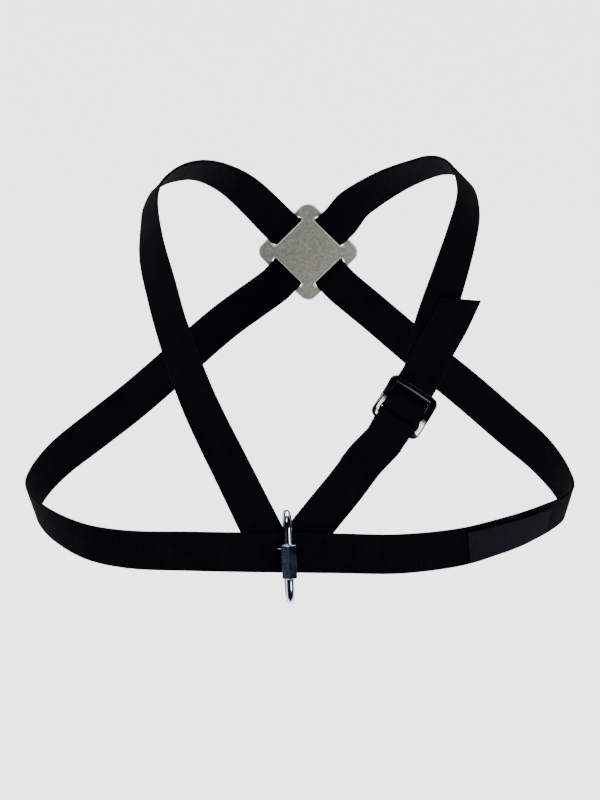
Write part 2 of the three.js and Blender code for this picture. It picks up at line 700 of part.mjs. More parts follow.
const harness = new THREE.Group();
harness.add(
  backPlate(),
  piece(
    "adjusting_strap",
    tape(adjustingStations(), { ...WEBBING, endCut: TAIL_CUT }),
    "webbing",
  ),
  piece("fixed_strap", tape(fixedRun, { ...WEBBING, endCut: FIXED_END_CUT }), "webbing"),
  piece(
    "buckle_strap",
    tape(buckleStrapStations(), { ...WEBBING, endCut: BUCKLE_END_CUT }),
    "webbing",
  ),
  piece("label", tape(labelRun, {
    width: LABEL_HEIGHT,
    thickness: LABEL_THICKNESS,
    rounding: LABEL_THICKNESS / 2,
    lift: (WEBBING_THICKNESS + LABEL_THICKNESS) / 2 + GAP,
    shift: LABEL_OFF_CENTRE,
  }), "patch"),
  buckleFrame(),
  quickLink(),
);

export default harness;
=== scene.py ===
"""Looks of a worn figure-of-eight climbing chest harness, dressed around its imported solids."""

import logging
import math
from dataclasses import dataclass, field
from enum import Enum

import bmesh
import bpy
import numpy as np
from mathutils import Matrix, Vector

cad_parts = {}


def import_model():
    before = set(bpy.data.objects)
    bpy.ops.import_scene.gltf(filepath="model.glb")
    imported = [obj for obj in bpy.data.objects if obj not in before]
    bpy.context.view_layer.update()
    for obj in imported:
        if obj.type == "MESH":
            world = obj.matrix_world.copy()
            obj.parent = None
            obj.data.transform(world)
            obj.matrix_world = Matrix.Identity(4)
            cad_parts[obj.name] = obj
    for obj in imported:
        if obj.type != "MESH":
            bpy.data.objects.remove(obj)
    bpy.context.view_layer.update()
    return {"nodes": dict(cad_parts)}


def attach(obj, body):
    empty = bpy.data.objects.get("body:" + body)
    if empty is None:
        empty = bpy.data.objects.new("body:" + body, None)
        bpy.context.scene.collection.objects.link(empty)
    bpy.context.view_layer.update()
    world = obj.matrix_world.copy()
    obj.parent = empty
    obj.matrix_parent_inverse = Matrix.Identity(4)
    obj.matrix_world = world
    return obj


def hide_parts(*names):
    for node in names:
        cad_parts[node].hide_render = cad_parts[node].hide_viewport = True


MM = 0.001
# Points of a mesh that lie closer than this, in metres, are one.
MERGE = 2e-6
WEAVE_MAP = "weave"
# Middle of the weave's map across a strap, in millimetres, which keeps the map above nought.
MAP_MIDDLE = 50
LOG = logging.getLogger("harness")

Triple = tuple[float, float, float]
Frames = tuple[np.ndarray, np.ndarray, np.ndarray, np.ndarray, np.ndarray]
Face = tuple[int, ...]


class Body(Enum):
    """Rigid bodies that the pieces ride on."""

    HARNESS = "harness"
    NUT = "nut"


class Slot(Enum):
    """Material slots of the part's record."""

    WEBBING = "webbing"
    PLATE = "plate_metal"
    LINK = "link_steel"
    BUCKLE = "buckle_metal"
    LABEL = "label_patch"


# Helpers


def linear(colour: str) -> tuple[float, float, float, float]:
    """Turns an sRGB hex colour into linear light.

    Args:
        colour: Six hex digits after a hash.

    Returns:
        Red, green, blue and a full alpha.
    """
    values = [int(colour[place:place + 2], 16) / 255 for place in (1, 3, 5)]
    red, green, blue = (v / 12.92 if v <= 0.04045 else ((v + 0.055) / 1.055) ** 2.4 for v in values)
    return red, green, blue, 1.0


def add_node(tree: bpy.types.NodeTree, kind: str, settings: dict | None = None,
             inputs: dict | None = None) -> bpy.types.Node:
    """Adds one shader node.

    Args:
        tree: Node tree that it goes into.
        kind: Its type name without the ShaderNode at the start.
        settings: Values for its own properties.
        inputs: Input name or number, with a value or the socket that feeds it.

    Returns:
        The new node.
    """
    node = tree.nodes.new("ShaderNode" + kind)
    for name, value in (settings or {}).items():
        setattr(node, name, value)
    for name, value in (inputs or {}).items():
        if isinstance(value, bpy.types.NodeSocket):
            tree.links.new(value, node.inputs[name])
        else:
            node.inputs[name].default_value = value
    return node


def new_material(name: str) -> tuple[bpy.types.Material, bpy.types.NodeTree]:
    """Makes an empty node material.

    Args:
        name: Plain name of the real material.

    Returns:
        The material and its tree, which holds only the output.
    """
    material = bpy.data.materials.new(name)
    material.use_nodes = True
    tree = material.node_tree
    tree.nodes.clear()
    add_node(tree, "OutputMaterial")
    return material, tree


def finish_material(tree: bpy.types.NodeTree, inputs: dict) -> None:
    """Closes a material with its Principled shader.

    Args:
        tree: The material's tree.
        inputs: The shader's inputs.
    """
    shader = add_node(tree, "BsdfPrincipled", inputs=inputs)
    output = next(n for n in tree.nodes if n.bl_idname == "ShaderNodeOutputMaterial")
    tree.links.new(shader.outputs["BSDF"], output.inputs["Surface"])


def new_object(name: str, data: bpy.types.ID) -> bpy.types.Object:
    """Makes an object of a mesh, a curve, a light or a camera.

    Args:
        name: Its plain name.
        data: What it shows.

    Returns:
        The object, linked to the scene.
    """
    item = bpy.data.objects.new(name, data)
    bpy.context.scene.collection.objects.link(item)
    return item


def deselect() -> None:
    """Clears the selection, so that an operator acts on new pieces alone."""
    if bpy.context.object is not None and bpy.context.object.mode != "OBJECT":
        bpy.ops.object.mode_set(mode="OBJECT")
    bpy.ops.object.select_all(action="DESELECT")


def make_active(piece: bpy.types.Object) -> None:
    """Selects one piece alone and makes it active.

    Args:
        piece: The piece.
    """
    deselect()
    piece.select_set(True)
    bpy.context.view_layer.objects.active = piece


def clean_mesh(piece: bpy.types.Object, merge: bool = False, outwards: bool = True) -> None:
    """Joins a piece's doubles and turns its faces outwards, as asked.

    Args:
        piece: The piece.
        merge: Whether its doubles are joined.
        outwards: Whether its normals are worked out again.
    """
    make_active(piece)
    bpy.ops.object.mode_set(mode="EDIT")
    bpy.ops.mesh.select_all(action="SELECT")
    if merge:
        bpy.ops.mesh.remove_doubles(threshold=MERGE)
    if outwards:
        bpy.ops.mesh.normals_make_consistent(inside=False)
    bpy.ops.object.mode_set(mode="OBJECT")


def apply_modifier(piece: bpy.types.Object, kind: str, settings: dict) -> None:
    """Adds a modifier to a piece and applies it.

    Args:
        piece: Piece that it shapes.
        kind: Type of the modifier.
        settings: Its properties.
    """
    make_active(piece)
    modifier = piece.modifiers.new(kind.lower(), kind)
    for name, value in settings.items():
        setattr(modifier, name, value)
    bpy.ops.object.modifier_apply(modifier=modifier.name)


def mesh_piece(name: str, points: np.ndarray, faces: list[Face]) -> bpy.types.Object:
    """Makes a piece from worked-out points.

    Args:
        name: The piece's plain name.
        points: Its points in metres, a row each.
        faces: Its faces, as numbers of points.

    Returns:
        The piece, linked to the scene.
    """
    mesh = bpy.data.meshes.new(name)
    mesh.from_pydata(points.tolist(), [], faces)
    mesh.validate()
    return new_object(name, mesh)


def merged_copy(node: bpy.types.Object, name: str) -> bpy.types.Object:
    """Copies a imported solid, with its loose triangles joined.

    Args:
        node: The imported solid.
        name: Name of the copy.

    Returns:
        The copy, as a piece of its own.
    """
    piece = new_object(name, node.data.copy())
    clean_mesh(piece, merge=True, outwards=False)
    return piece


def write_weave_map(piece: bpy.types.Object, along: np.ndarray, across: np.ndarray) -> None:
    """Writes the UV map that a weave follows, in millimetres.

    Args:
        piece: A woven piece.
        along: Each point's run along the cloth, in metres.
        across: Each point's place across it, in metres from the middle.
    """
    layer = piece.data.uv_layers.new(name=WEAVE_MAP)
    corner = np.empty(len(piece.data.loops), np.int32)
    piece.data.loops.foreach_get("vertex_index", corner)
    places = np.column_stack([along[corner] / MM, across[corner] / MM + MAP_MIDDLE])
    layer.data.foreach_set("uv", places.astype(np.float32).ravel())


def smooth(piece: bpy.types.Object, degrees: float) -> None:
    """Shades a piece smoothly, apart from edges sharper than an angle."""
    make_active(piece)
    bpy.ops.object.shade_smooth_by_angle(angle=math.radians(degrees))


def dress(piece: bpy.types.Object, *materials: bpy.types.Material) -> None:
    """Gives a piece its materials in place of any that it has, with the first all over.

    Args:
        piece: The piece.
        materials: Its materials in order.
    """
    piece.data.materials.clear()
    for material in materials:
        piece.data.materials.append(material)


def settle(piece: bpy.types.Object, body: Body, slot: Slot, *nodes: str) -> None:
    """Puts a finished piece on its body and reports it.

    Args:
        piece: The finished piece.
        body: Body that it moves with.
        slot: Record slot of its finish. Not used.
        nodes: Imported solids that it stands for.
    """
    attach(piece, body.value)
    if nodes:
        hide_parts(*nodes)
    piece.data.calc_loop_triangles()
    LOG.info("%s: %d triangles on %s", piece.name, len(piece.data.loop_triangles), body.value)


# Finishes


@dataclass(frozen=True)
class Weave:
    """Lengthwise yarns that float over a rib each and are staggered like bricks."""

    yarn: str
    yarn_light: str
    shadow: str
    # Pitches, furrow and relief are in millimetres, as the UV map is.
    rib_pitch: float
    yarn_pitch: float
    furrow: float
    furrow_blur: float
    relief: float
    relief_strength: float

    def pattern(self, tree: bpy.types.NodeTree) -> tuple[bpy.types.Node, bpy.types.Node, bpy.types.Node]:
        """Adds the weave to a material.

        Args:
            tree: The material's tree.

        Returns:
            The nodes of the UV map, the colour and the relief.
        """
        uv = add_node(tree, "UVMap", {"uv_map": WEAVE_MAP})
        weave = add_node(tree, "TexBrick", {"offset": 0.5, "offset_frequency": 2}, {
            "Vector": uv.outputs["UV"], "Scale": 1.0,
            "Brick Width": self.rib_pitch, "Row Height": self.yarn_pitch,
            "Mortar Size": self.furrow, "Mortar Smooth": self.furrow_blur,
            "Color1": linear(self.yarn), "Color2": linear(self.yarn_light), "Mortar": linear(self.shadow),
        })
        low = add_node(tree, "MapRange", inputs={
            "Value": weave.outputs["Fac"], "To Min": 1.0, "To Max": 0.0})
        bump = add_node(tree, "Bump", inputs={
            "Height": low.outputs["Result"], "Strength": self.relief_strength,
            "Distance": self.relief * MM})
        return uv, weave, bump


@dataclass(frozen=True)
class WovenPolyester:
    """Ribbed polyester webbing, dyed nearly black, with hardly any shine."""

    weave: Weave = Weave(
        "#020305", "#030408", "#010102", rib_pitch=1.5, yarn_pitch=0.8,
        furrow=0.09, furrow_blur=0.6, relief=0.12, relief_strength=0.5)
    sheen: str = "#8f97c0"
    # Painted shade in a valley and painted highlight on a crest, as shares of the yarn's colour.
    valley_shade: float = 0.3
    crest_highlight: float = 1.7

    def material(self) -> bpy.types.Material:
        """Builds the material, on a UV map in millimetres along and across the strap.

        Returns:
            The material.
        """
        material, tree = new_material("woven polyester webbing")
        uv, weave, bump = self.weave.pattern(tree)
        # Dust and painted sheen lie in clouds about 17 mm across. A noise's scale counts its cells in a
        # metre.
        place = add_node(tree, "TexCoord").outputs["Object"]
        dust_and_sheen = add_node(tree, "TexNoise", inputs={"Vector": place, "Scale": 60.0, "Detail": 3.0})
        tone = add_node(tree, "MapRange", inputs={
            "Value": dust_and_sheen.outputs["Fac"], "From Min": 0.3, "From Max": 0.7, "To Min": 0.75, "To Max": 1.25})
        # Painted shade darkens the valleys between the ribs, and a painted highlight lightens the crests.
        along = add_node(tree, "SeparateXYZ", inputs={"Vector": uv.outputs["UV"]}).outputs["X"]
        turn = add_node(tree, "Math", {"operation": "MULTIPLY"}, {
            0: along, 1: 2 * math.pi / self.weave.rib_pitch})
        swell = add_node(tree, "Math", {"operation": "COSINE"}, {0: turn.outputs["Value"]})
        rib = add_node(tree, "MapRange", inputs={
            "Value": swell.outputs["Value"], "From Min": -1.0, "From Max": 1.0,
            "To Min": self.valley_shade, "To Max": self.crest_highlight})
        shade = add_node(tree, "Math", {"operation": "MULTIPLY"}, {
            0: tone.outputs["Result"], 1: rib.outputs["Result"]})
        colour = add_node(tree, "VectorMath", {"operation": "SCALE"}, {
            0: weave.outputs["Color"], "Scale": shade.outputs["Value"]})
        finish_material(tree, {
            "Base Color": colour.outputs["Vector"], "Roughness": 0.75, "Specular IOR Level": 0.015,
            "Sheen Weight": 0.002, "Sheen Roughness": 0.4, "Sheen Tint": linear(self.sheen),
            "Normal": bump.outputs["Normal"],
        })
        return material


@dataclass(frozen=True)
class LabelCloth:
    """Charcoal woven label, finer and flatter than the webbing, with a matt face."""

    # Yarns of about 0.3 mm would not show, so they are drawn 0.6 mm apart.
    weave: Weave = Weave(
        "#09090d", "#0f0f15", "#030305", rib_pitch=1.2, yarn_pitch=0.6,
        furrow=0.06, furrow_blur=0.5, relief=0.05, relief_strength=0.4)

    def material(self) -> bpy.types.Material:
        """Builds the material, on a UV map in millimetres.

        Returns:
            The material.
        """
        material, tree = new_material("woven label satin")
        _, weave, bump = self.weave.pattern(tree)
        finish_material(tree, {
            "Base Color": weave.outputs["Color"], "Roughness": 0.75, "Specular IOR Level": 0.015,
            "Sheen Weight": 0.002, "Sheen Roughness": 0.4, "Normal": bump.outputs["Normal"],
        })
        return material


@dataclass(frozen=True)
class SewingThread:
    """Bonded polyester thread, dark on the webbing, and pale on the loose end, where the pale colour is a
    painted glint.
    """

    name: str
    colour: str

    def material(self) -> bpy.types.Material:
        """Builds the material, with the twist of the thread as bands about 0.7 mm apart.

        Returns:
            The material.
        """
        material, tree = new_material(self.name)
        place = add_node(tree, "TexCoord").outputs["Object"]
        twist = add_node(tree, "TexWave", {"bands_direction": "DIAGONAL"}, {
            "Vector": place, "Scale": 900.0, "Distortion": 1.0})
        shade = add_node(tree, "MapRange", inputs={
            "Value": twist.outputs["Fac"], "To Min": 0.7, "To Max": 1.15})
        colour = add_node(tree, "VectorMath", {"operation": "SCALE"}, {
            0: linear(self.colour)[:3], "Scale": shade.outputs["Result"]})
        finish_material(tree, {
            "Base Color": colour.outputs["Vector"], "Roughness": 0.6, "Specular IOR Level": 0.05})
        return material


@dataclass(frozen=True)
class TumbledSteel:
    """Stainless plate, tumbled to a matt warm grey with faint mottling."""

    name: str
    grey: str
    warm: str
    cool: str

    def material(self) -> bpy.types.Material:
        """Builds the material on Object coordinates.

        Returns:
            The material.
        """
        material, tree = new_material(self.name)
        place = add_node(tree, "TexCoord").outputs["Object"]
        # Clouds of tone one to two millimetres across, as tumbling media leave them, on a finer grain.
        cloud = add_node(tree, "TexNoise", inputs={"Vector": place, "Scale": 1100.0, "Detail": 5.0})
        stain = add_node(tree, "TexNoise", inputs={"Vector": place, "Scale": 480.0, "Detail": 3.0})
        grain = add_node(tree, "TexNoise", inputs={"Vector": place, "Scale": 1400.0, "Detail": 2.0})
        patch = add_node(tree, "MapRange", inputs={
            "Value": cloud.outputs["Fac"], "From Min": 0.35, "From Max": 0.65})
        first = add_node(tree, "MixRGB", inputs={
            "Fac": patch.outputs["Result"], "Color1": linear(self.grey), "Color2": linear(self.warm)})
        where = add_node(tree, "MapRange", inputs={
            "Value": stain.outputs["Fac"], "From Min": 0.4, "From Max": 0.7})
        second = add_node(tree, "MixRGB", inputs={
            "Fac": where.outputs["Result"], "Color1": first.outputs["Color"],
            "Color2": linear(self.cool)})
        rough = add_node(tree, "MapRange", inputs={
            "Value": cloud.outputs["Fac"], "From Min": 0.3, "From Max": 0.7,
            "To Min": 0.46, "To Max": 0.62})
        bump = add_node(tree, "Bump", inputs={
            "Height": grain.outputs["Fac"], "Strength": 0.35, "Distance": 0.03 * MM})
        finish_material(tree, {
            "Base Color": second.outputs["Color"], "Metallic": 0.6,
            "Roughness": rough.outputs["Result"], "Normal": bump.outputs["Normal"],
        })
        return material


@dataclass(frozen=True)
class PlatedSteel:
    """Bright zinc plate over steel: mirror-like with a slight haze and a cool tint."""

    name: str
    tint: str
    haze: float
    pitting: float

    def material(self) -> bpy.types.Material:
        """Builds the material on Object coordinates.

        Returns:
            The material.
        """
        material, tree = new_material(self.name)
        place = add_node(tree, "TexCoord").outputs["Object"]
        speckle = add_node(tree, "TexNoise", inputs={"Vector": place, "Scale": 1100.0, "Detail": 3.0})
        cloud = add_node(tree, "TexNoise", inputs={"Vector": place, "Scale": 160.0, "Detail": 2.0})
        rough = add_node(tree, "MapRange", inputs={
            "Value": cloud.outputs["Fac"], "From Min": 0.35, "From Max": 0.65,
            "To Min": self.haze * 0.7, "To Max": self.haze * 1.4})
        bump = add_node(tree, "Bump", inputs={
            "Height": speckle.outputs["Fac"], "Strength": self.pitting, "Distance": 0.05 * MM})
        # Pits are darker than the plate around them.
        shade = add_node(tree, "MapRange", inputs={
            "Value": speckle.outputs["Fac"], "From Min": 0.4, "From Max": 0.58,
            "To Min": 1.0 - 0.75 * self.pitting, "To Max": 1.0})
        colour = add_node(tree, "VectorMath", {"operation": "SCALE"}, {
            0: linear(self.tint)[:3], "Scale": shade.outputs["Result"]})
        finish_material(tree, {
            "Base Color": colour.outputs["Vector"], "Metallic": 1.0,
            "Roughness": rough.outputs["Result"], "Normal": bump.outputs["Normal"],
        })
        return material


@dataclass(frozen=True)
class BlackEnamel:
    """Stoved black enamel over steel, dull at a low gloss, and at a high gloss where it carries a painted
    highlight on the rails.
    """

    name: str
    gloss: float
    black: str = "#030305"

    def material(self) -> bpy.types.Material:
        """Builds the material on Object coordinates.

        Returns:
            The material.
        """
        material, tree = new_material(self.name)
        place = add_node(tree, "TexCoord").outputs["Object"]
        scuff = add_node(tree, "TexNoise", inputs={"Vector": place, "Scale": 190.0, "Detail": 4.0})
        rough = add_node(tree, "MapRange", inputs={
            "Value": scuff.outputs["Fac"], "From Min": 0.4, "From Max": 0.7,
            "To Min": 0.1, "To Max": 0.2})
        finish_material(tree, {
            "Base Color": linear(self.black), "Roughness": rough.outputs["Result"],
            "Specular IOR Level": self.gloss,
        })
        return material


# Straps


class StrapRoute:
    """Middle line of a flat strap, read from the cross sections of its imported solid.

    Runs are lengths in metres from the starting end. At each run the route gives the strap's
    centre, the direction across it, the direction of its face and how far its ends are cut askew.
    """

    # A cut end is flat, has six points, and is much wider than it is thick.
    section_points = 6
    flatness = 0.99995
    end_areas = (8e-6, 90e-6)
    end_width = 15 * MM
    end_thickness = 3 * MM
    # Half the length over which a heading is read.
    step = 0.05 * MM

    def __init__(self, solid: bpy.types.Object, start: Vector, outer: Vector) -> None:
        """Walks the solid from one cut end to the other.

        Args:
            solid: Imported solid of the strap.
            start: A point near the end to start from, in metres.
            outer: The way that the strap's face looks there.
        """
        centres = []
        acrosses = []
        for ring in self._rings(solid, start):
            pair = max(((a, b) for a in ring for b in ring), key=lambda ab: (ab[0] - ab[1]).length)
            across = pair[1] - pair[0]
            if acrosses and across.dot(acrosses[-1]) < 0:
                across = -across
            centres.append((pair[0] + pair[1]) / 2)
            acrosses.append(across)
        if acrosses[0].cross(centres[1] - centres[0]).dot(outer) < 0:
            acrosses = [-across for across in acrosses]
        self.centres = np.array(centres)
        steps = np.linalg.norm(np.diff(self.centres, axis=0), axis=1)
        self.runs = np.concatenate([[0.0], np.cumsum(steps)])
        self.length = float(self.runs[-1])
        headings = self._unit(np.gradient(self.centres, self.runs, axis=0))
        across = np.array(acrosses)
        along = (across * headings).sum(1, keepdims=True)
        self.acrosses = self._unit(across - along * headings)
        self.leans = along[:, 0] / np.linalg.norm(across - along * headings, axis=1)

    @staticmethod
    def _unit(rows: np.ndarray) -> np.ndarray:
        """Rows made one long."""
        return rows / np.linalg.norm(rows, axis=1, keepdims=True)

    def _flat_group(self, face: bmesh.types.BMFace) -> set[bmesh.types.BMFace]:
        """Finds the faces that lie in one plane with a face and join it.

        Args:
            face: The face to start from.

        Returns:
            All of them, with the face itself.
        """
        group = {face}
        waiting = [face]
        while waiting:
            for edge in waiting.pop().edges:
                for other in edge.link_faces:
                    if other not in group and other.normal.dot(face.normal) > self.flatness:
                        group.add(other)
                        waiting.append(other)
        return group

    def _rings(self, solid: bpy.types.Object, start: Vector) -> list[list[Vector]]:
        """Finds the solid's cross sections in order.

        Args:
            solid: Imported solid, whose sections all have six points.
            start: A point near the first section.

        Returns:
            The points of each section.
        """
        shape = bmesh.new()
        shape.from_mesh(solid.data)
        bmesh.ops.remove_doubles(shape, verts=shape.verts, dist=MERGE)
        ends = []
        seen = set()
        for face in shape.faces:
            if face in seen:
                continue
            group = self._flat_group(face)
            seen |= group
            points = {v for f in group for v in f.verts}
            area = sum(f.calc_area() for f in group)
            whole = len(points) == self.section_points and len(group) == self.section_points - 2
            if whole and self.end_areas[0] < area < self.end_areas[1]:
                spread = max((a.co - b.co).length for a in points for b in points)
                if area / spread < self.end_thickness and spread > self.end_width:
                    ends.append(points)
        rings = []
        done = set()
        layer = set(min(ends, key=lambda ps: sum((v.co - start).length for v in ps)))
        while layer:
            rings.append([v.co.copy() for v in layer])
            done |= layer
            layer = {e.other_vert(v) for v in layer for e in v.link_edges} - done
        shape.free()
        return rings

    def nudge(self, middle: float, reach: float, shift: Triple) -> None:
        """Moves the route by a shift at one run, which fades over the reach on both sides."""
        near = np.clip(1 - np.abs(self.runs - middle) / reach, 0.0, 1.0)
        self.centres += (near * near * (3 - 2 * near))[:, None] * np.array(shift)

    def _blend(self, values: np.ndarray, where: np.ndarray) -> np.ndarray:
        """Works out smooth values between the sections.

        Args:
            values: A row for each section.
            where: Runs to read them at.

        Returns:
            A row for each run.
        """
        gaps = np.diff(self.runs)
        slopes = np.diff(values, axis=0) / gaps[:, None]
        tangents = np.empty_like(values)
        tangents[0] = slopes[0]
        tangents[-1] = slopes[-1]
        before = gaps[:-1, None]
        after = gaps[1:, None]
        tangents[1:-1] = (slopes[:-1] * after + slopes[1:] * before) / (before + after)
        index = np.clip(np.searchsorted(self.runs, where, side="right") - 1, 0, len(gaps) - 1)
        gap = gaps[index][:, None]
        t = (where[:, None] - self.runs[index][:, None]) / gap
        return (values[index] * (2 * t**3 - 3 * t**2 + 1) + tangents[index] * gap * (t**3 - 2 * t**2 + t)
                + values[index + 1] * (3 * t**2 - 2 * t**3) + tangents[index + 1] * gap * (t**3 - t**2))

    def frames(self, where: np.ndarray) -> Frames:
        """Reads the route at many runs.

        Args:
            where: Runs in metres.

        Returns:
            Centres, across directions, face directions, headings and leans.
        """
        centres = self._blend(self.centres, where)
        ahead = self._blend(self.centres, np.minimum(where + self.step, self.length))
        behind = self._blend(self.centres, np.maximum(where - self.step, 0.0))
        headings = self._unit(ahead - behind)
        across = self._blend(self.acrosses, where)
        across = self._unit(across - (across * headings).sum(1, keepdims=True) * headings)
        leans = self._blend(self.leans[:, None], where)[:, 0]
        return centres, across, np.cross(across, headings), headings, leans


@dataclass
class WovenStrap:
    """One length of ribbed webbing, lofted rib by rib along its route."""

    name: str
    route: StrapRoute
    width: float = 25.0 * MM
    thickness: float = 1.95 * MM
    rib_pitch: float = 1.5 * MM
    rib_depth: float = 0.2 * MM
    rings_per_rib: int = 4
    scallop: float = 0.18 * MM
    end_bead: float = 0.15 * MM
    crease: float = 50.0
    # Half of the section, as shares of the half width and half thickness.
    section: tuple[tuple[float, float], ...] = (
        (1.0, 0.0), (0.992, 0.5), (0.965, 0.88), (0.91, 1.0), (0.8, 0.93), (0.4, 0.97), (0.0, 1.0),
    )

    def outline(self) -> np.ndarray:
        """Works out the whole section.

        Returns:
            Its points once round, as shares of the half width and half thickness.
        """
        right = list(self.section)
        left = [(-x, y) for x, y in reversed(self.section[:-1])]
        top = right + left
        bottom = [(x, -y) for x, y in reversed(top[1:-1])]
        return np.array(top + bottom)

    def build(self) -> bpy.types.Object:
        """Lofts the webbing.

        Returns:
            The strap, with its UV map, on which each rib is exactly one pitch long.
        """
        ribs = round(self.route.length / self.rib_pitch)
        count = ribs * self.rings_per_rib + 1
        runs = np.linspace(0.0, self.route.length, count)
        centres, across, faces, headings, leans = self.route.frames(runs)
        wave = np.cos(2 * np.pi * np.arange(count) / self.rings_per_rib)
        half_thick = self.thickness / 2 - self.rib_depth * (1 - wave) / 2
        # The ends are sealed by heat, which rounds them over.
        for end in (0, -1):
            half_thick[end] = self.thickness / 2 - 2 * self.end_bead
        half_wide = self.width / 2 - self.scallop * (1 - wave) / 2
        shape = self.outline()
        sideways = shape[None, :, 0] * half_wide[:, None]
        upward = shape[None, :, 1] * half_thick[:, None]
        points = (centres[:, None, :] + sideways[:, :, None] * across[:, None, :]
                  + upward[:, :, None] * faces[:, None, :]
                  + (sideways * leans[:, None])[:, :, None] * headings[:, None, :])
        around = len(shape)
        quads = []
        for base in range(0, (count - 1) * around, around):
            for side in range(around):
                following = (side + 1) % around
                quads.append((base + side, base + following, base + around + following,
                              base + around + side))
        last = (count - 1) * around
        quads.append(tuple(range(around - 1, -1, -1)))
        quads.append(tuple(range(last, last + around)))
        piece = mesh_piece(self.name, points.reshape(-1, 3), quads)
        along = np.repeat(np.arange(count), around) / self.rings_per_rib * self.rib_pitch
        write_weave_map(piece, along, sideways.reshape(-1))
        clean_mesh(piece)
        smooth(piece, self.crease)
        return piece


@dataclass
class LabelPatch:
    """Bare woven label on the band, with a turned hem along each edge."""

    route: StrapRoute
    width: float = 19.4 * MM
    thickness: float = 0.75 * MM
    columns: int = 28
    step: float = 0.75 * MM
    hem: float = 1.3 * MM
    hem_rise: float = 0.12 * MM
    hem_slope: float = 0.4 * MM
    # Share of the thickness left at the very edge, and the length over which it grows by a whole.
    edge_share: float = 0.35
    edge_slope: float = 0.5 * MM
    crease: float = 60.0

    def _half_thickness(self, inside: float) -> float:
        """Works out half the label's thickness.

        Args:
            inside: Distance from the nearest edge, in metres.

        Returns:
            Half the thickness there.
        """
        past_hem = min(1.0, max(0.0, (inside - self.hem) / self.hem_slope))
        edge = min(1.0, self.edge_share + inside / self.edge_slope)
        return (self.thickness / 2 - self.hem_rise * past_hem) * edge

    def build(self) -> bpy.types.Object:
        """Lofts the label as one thin closed sheet.

        Returns:
            The label, with its UV map.
        """
        count = round(self.route.length / self.step) + 1
        runs = np.linspace(0.0, self.route.length, count)
        centres, across, faces, headings, leans = self.route.frames(runs)
        sideways = np.linspace(-1.0, 1.0, self.columns) * self.width / 2
        points = []
        for side in (1, -1):
            for index in range(count):
                from_end = min(runs[index], self.route.length - runs[index])
                for place in sideways:
                    rise = self._half_thickness(min(from_end, self.width / 2 - abs(place)))
                    points.append(centres[index] + across[index] * place
                                  + faces[index] * side * rise
                                  + headings[index] * place * leans[index])
        columns = self.columns
        grid = count * columns
        quads = []
        for index in range(count - 1):
            for column in range(columns - 1):
                a = index * columns + column
                b = a + grid
                quads.append((a, a + 1, a + 1 + columns, a + columns))
                quads.append((b, b + columns, b + 1 + columns, b + 1))
        rim = list(range(columns))
        rim += [i * columns + columns - 1 for i in range(1, count)]
        rim += [(count - 1) * columns + c for c in range(columns - 2, -1, -1)]
        rim += [i * columns for i in range(count - 2, 0, -1)]
        for a, b in zip(rim, rim[1:] + rim[:1]):
            quads.append((b, a, a + grid, b + grid))
        piece = mesh_piece("woven_label", np.array(points), quads)
        write_weave_map(piece, np.tile(np.repeat(runs, columns), 2), np.tile(sideways, 2 * count))
        clean_mesh(piece)
        smooth(piece, self.crease)
        return piece


@dataclass
class Stitching:
    """Rows of lockstitch laid on a strap's face."""

    route: StrapRoute
    thread: float = 0.45 * MM
    stitch: float = 2.6 * MM
    gap: float = 0.7 * MM
    # Half the width of a box, and the height of the thread above the strap's middle.
    half_box: float = 9.5 * MM
    lift: float = 1.0 * MM
    # Rise of a stitch along its length, in threads.
    arch: tuple[float, ...] = (-0.5, 0.2, 0.5, 0.5, 0.2, -0.5)
    sides: int = 5
    steep: float = 0.9
    crease: float = 60.0

    def row(self, start: tuple[float, float], end: tuple[float, float]) -> list[np.ndarray]:
        """Stitches along a straight line on the strap.

        Args:
            start: Run and place across of the first point, in metres.
            end: Run and place across of the last point.

        Returns:
            The path of each stitch.
        """
        a = np.array(start)
        b = np.array(end)
        length = float(np.linalg.norm(b - a))
        count = max(1, round(length / (self.stitch + self.gap)))
        span = length / count
        rise = self.lift + np.array(self.arch) * self.thread
        paths = []
        for index in range(count):
            places = index * span + np.linspace(self.gap / 2, span - self.gap / 2, len(self.arch))
            flat = a + (places / length)[:, None] * (b - a)
            centres, across, faces, headings, leans = self.route.frames(flat[:, 0])
            side = flat[:, 1][:, None]
            paths.append(centres + across * side + headings * side * leans[:, None]
                         + faces * rise[:, None])
        return paths

    def box(self, first: float, last: float) -> list[np.ndarray]:
        """Stitches a box with a cross in it.

        Args:
            first: Run of its near side, in metres.
            last: Run of its far side.

        Returns:
            The path of each stitch.
        """
        half = self.half_box
        corners = ((first, -half), (last, -half), (last, half), (first, half))
        lines = [(corners[side], corners[(side + 1) % 4]) for side in range(4)]
        lines += [(corners[0], corners[2]), (corners[1], corners[3])]
        return [path for start, end in lines for path in self.row(start, end)]

    def mesh(self, name: str, paths: list[np.ndarray]) -> bpy.types.Object:
        """Makes all stitches of one piece as short round threads.

        Args:
            name: Name of the piece.
            paths: The path of each stitch.

        Returns:
            The piece.
        """
        sides = self.sides
        points = []
        faces = []
        for path in paths:
            heading = path[-1] - path[0]
            heading /= np.linalg.norm(heading)
            # Any direction does to start from, unless it is nearly the stitch's own.
            seed = np.array([0.0, 0.0, 1.0]) if abs(heading[2]) < self.steep else np.array([1.0, 0.0, 0.0])
            first = np.cross(heading, seed)
            first /= np.linalg.norm(first)
            second = np.cross(heading, first)
            base = len(points)
            for place in path:
                for side in range(sides):
                    angle = 2 * math.pi * side / sides
                    out = math.cos(angle) * first + math.sin(angle) * second
                    points.append(place + self.thread / 2 * out)
            for ring in range(len(path) - 1):
                for side in range(sides):
                    a = base + ring * sides + side
                    b = base + ring * sides + (side + 1) % sides
                    faces.append((a, b, b + sides, a + sides))
            end = base + (len(path) - 1) * sides
            faces.append(tuple(base + side for side in range(sides - 1, -1, -1)))
            faces.append(tuple(end + side for side in range(sides)))
        piece = mesh_piece(name, np.array(points), faces)
        clean_mesh(piece)
        smooth(piece, self.crease)
        return piece


# Metalwork


